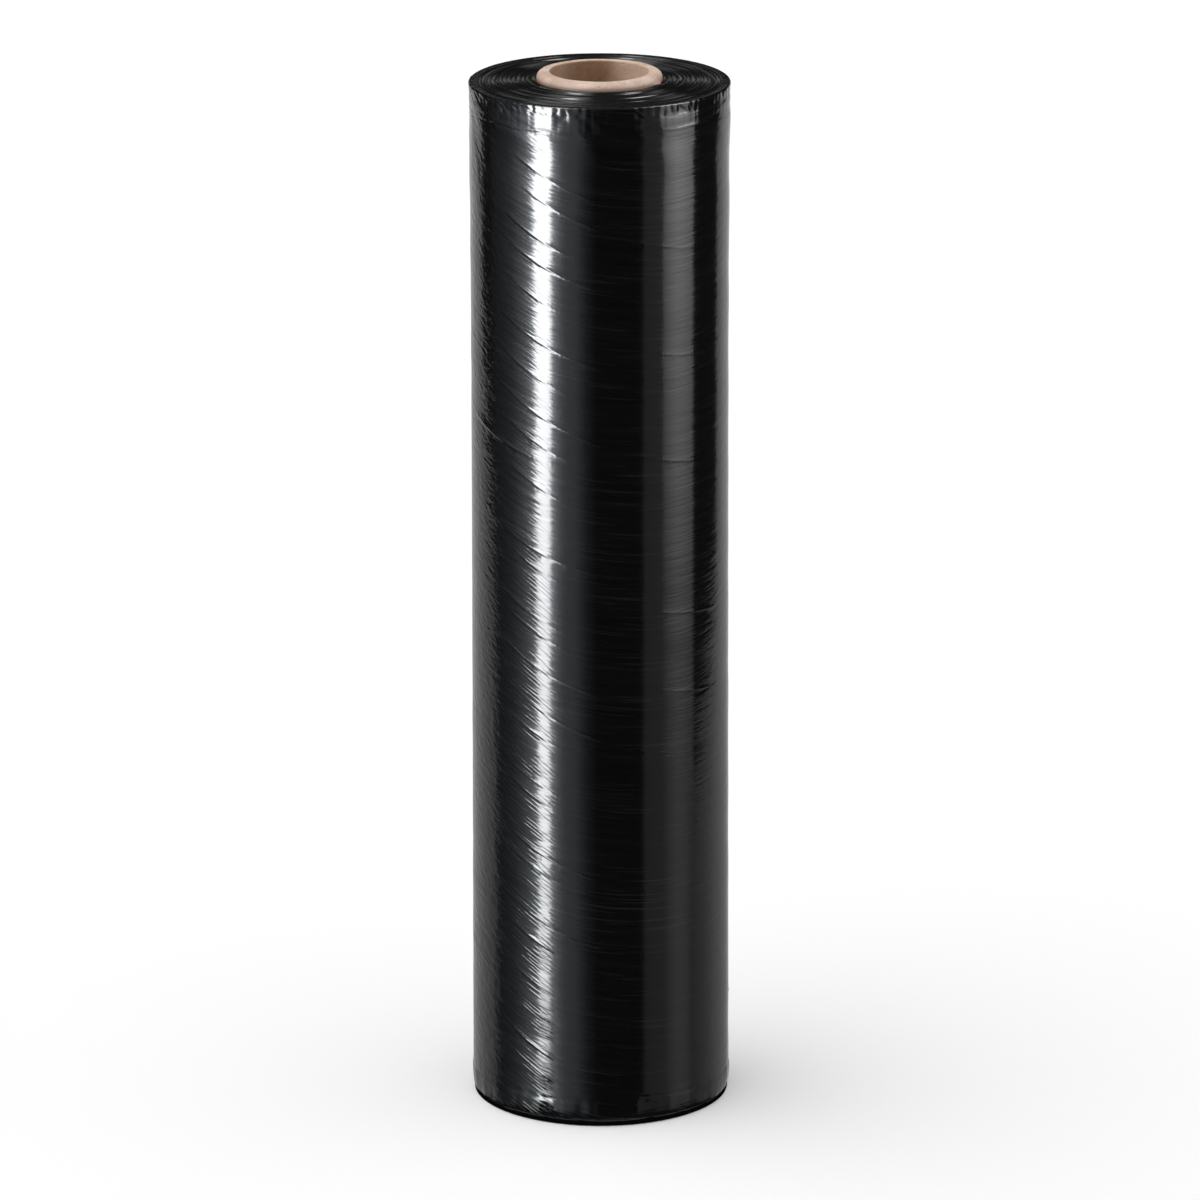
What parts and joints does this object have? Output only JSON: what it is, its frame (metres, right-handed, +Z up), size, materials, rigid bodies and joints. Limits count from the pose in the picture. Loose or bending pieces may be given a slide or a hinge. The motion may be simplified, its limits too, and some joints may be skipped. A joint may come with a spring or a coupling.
{
  "type": "roll of plastic sheeting",
  "caption": "Roll of black stretch film wound tight on a cardboard core that stands proud of both ends, with stepped turns at the ends and creases in the last turn.",
  "frame": {"origin": "middle of the circle that the lower end of the core stands on", "axes": "+Z up along the axis of the core and the roll; X and Y are any two directions across it"},
  "size_m": [0.1018, 0.1018, 0.4118],
  "materials": {
    "film": "gloss",
    "core": "matte"
  },
  "bodies": {
    "root": {"core_tube": "core", "film_winding": "film"}
  },
  "joints": []
}
